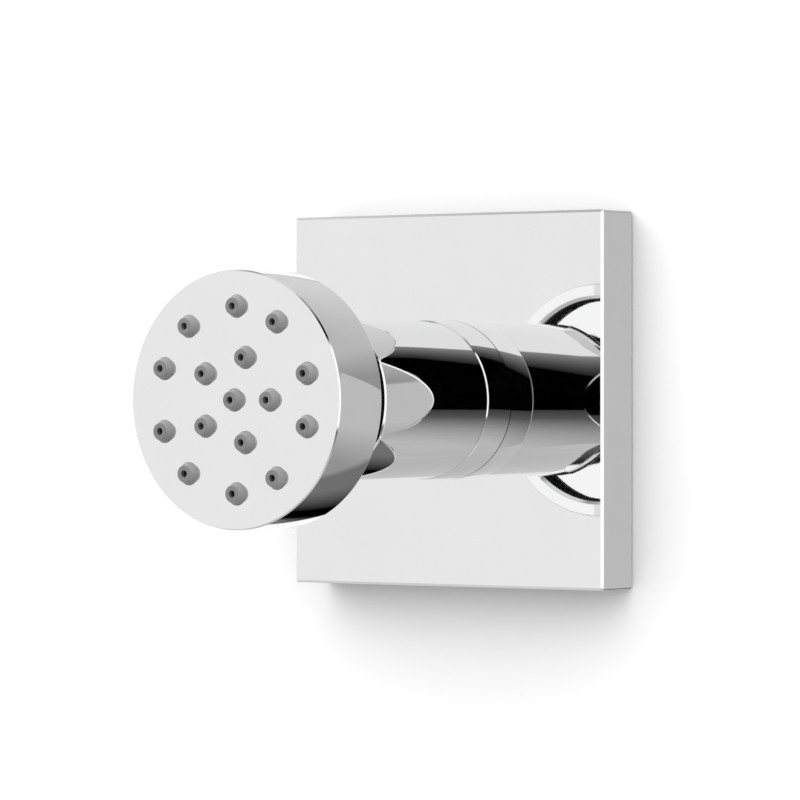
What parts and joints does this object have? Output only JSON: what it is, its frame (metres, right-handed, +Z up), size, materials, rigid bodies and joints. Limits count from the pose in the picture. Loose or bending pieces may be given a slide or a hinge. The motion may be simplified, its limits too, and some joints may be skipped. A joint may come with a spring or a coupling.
{
  "type": "shower body jet",
  "caption": "Wall-mounted shower body jet: square plate, scalloped clamp sleeve holding a ball joint, and a round tilting spray head with soft grey nozzles.",
  "frame": {"origin": "on the jet's axis, in the wall plane (the back of the square plate, where the shank's thread starts)", "axes": "+Z up, the jet sprays towards -Y, the threaded shank goes into the wall along +Y, +X to the right seen from the front"},
  "size_m": [0.06, 0.0811, 0.06],
  "materials": {
    "chrome": "mirror-polished chrome plate on brass",
    "silicone_grey": "soft matte grey silicone",
    "seal_black": "black nitrile, satin",
    "acetal_white": "white moulded acetal",
    "spring_steel": "stainless steel, as rolled",
    "washer_brass": "turned brass",
    "foam_dark": "closed-cell foam, dark grey"
  },
  "bodies": {
    "base": {"wall_plate": "chrome", "plate_gasket": "foam_dark", "plate_o_ring": "seal_black", "base_fitting": "chrome", "inlet_washer": "seal_black", "strainer_screen": "spring_steel", "flow_regulator": "acetal_white", "regulator_o_ring": "seal_black", "sleeve_o_ring": "seal_black", "thrust_washer": "washer_brass", "disc_spring": "spring_steel"},
    "sleeve": {"swivel_sleeve": "chrome", "retaining_collar": "chrome", "front_ball_seat": "acetal_white"},
    "seat": {"rear_ball_seat": "acetal_white", "seat_o_ring": "seal_black", "ball_seal": "seal_black"},
    "ball": {"ball_stem": "chrome"},
    "head": {"spray_head": "chrome", "nozzle_mat": "silicone_grey", "flow_plate": "acetal_white", "back_cover": "chrome", "cover_o_ring": "seal_black", "stem_washer": "seal_black"}
  },
  "joints": [
    {"name": "clamp_turn", "type": "hinge", "parent": "base", "child": "sleeve", "pos_m": [0, -0.0287, 0], "axis": [0, -1, 0], "range_deg": [0, 180]},
    {"name": "swivel_turn", "type": "hinge", "parent": "base", "child": "seat", "pos_m": [0, -0.0417, 0], "axis": [0, -1, 0], "continuous": true},
    {"name": "head_tilt", "type": "hinge", "parent": "seat", "child": "ball", "pos_m": [0, -0.0417, 0], "axis": [1, 0, 0], "range_deg": [-20, 20]},
    {"name": "head_spin", "type": "hinge", "parent": "ball", "child": "head", "pos_m": [0, -0.0417, 0], "axis": [0, -1, 0], "continuous": true}
  ]
}
